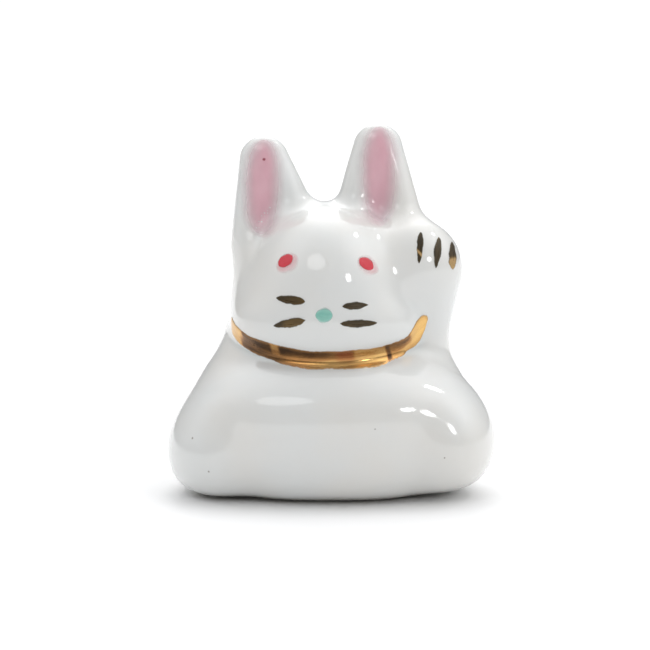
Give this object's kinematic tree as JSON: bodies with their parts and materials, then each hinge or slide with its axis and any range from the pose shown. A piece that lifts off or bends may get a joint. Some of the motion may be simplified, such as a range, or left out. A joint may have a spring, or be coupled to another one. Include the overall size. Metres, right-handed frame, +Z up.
{
  "type": "beckoning rabbit figurine",
  "caption": "Small seated rabbit figurine in glazed porcelain with one paw raised, tall ears, a gold collar and a flat foot to stand on; made to bring luck on a shelf or desk.",
  "frame": {"origin": "middle of the flat foot, on the surface that the figurine stands on", "axes": "+Z up, the face looks towards -Y, the raised paw is on the +X side"},
  "size_m": [0.0264, 0.0186, 0.0292],
  "materials": {
    "glazed_porcelain": "clear glossy glaze over white porcelain, bare at the foot",
    "gold_lustre": "fired gold lustre, brushed on by hand, bright to brown",
    "dark_lustre": "thin fired gold lustre that reads dark olive brown",
    "pink_enamel": "thin soft-edged pink enamel, glossy",
    "red_enamel": "red enamel dot, glossy",
    "green_enamel": "pale blue-green enamel dot, glossy"
  },
  "bodies": {
    "root": {"porcelain_body": "glazed_porcelain", "collar_band": "gold_lustre", "ear_pink_left": "pink_enamel", "ear_pink_right": "pink_enamel", "eye_left": "red_enamel", "eye_right": "red_enamel", "nose": "green_enamel", "whisker_upper_left": "dark_lustre", "whisker_lower_left": "dark_lustre", "whisker_upper_right": "dark_lustre", "whisker_lower_right": "dark_lustre", "claw_inner": "dark_lustre", "claw_middle": "dark_lustre", "claw_outer": "dark_lustre"}
  },
  "joints": []
}
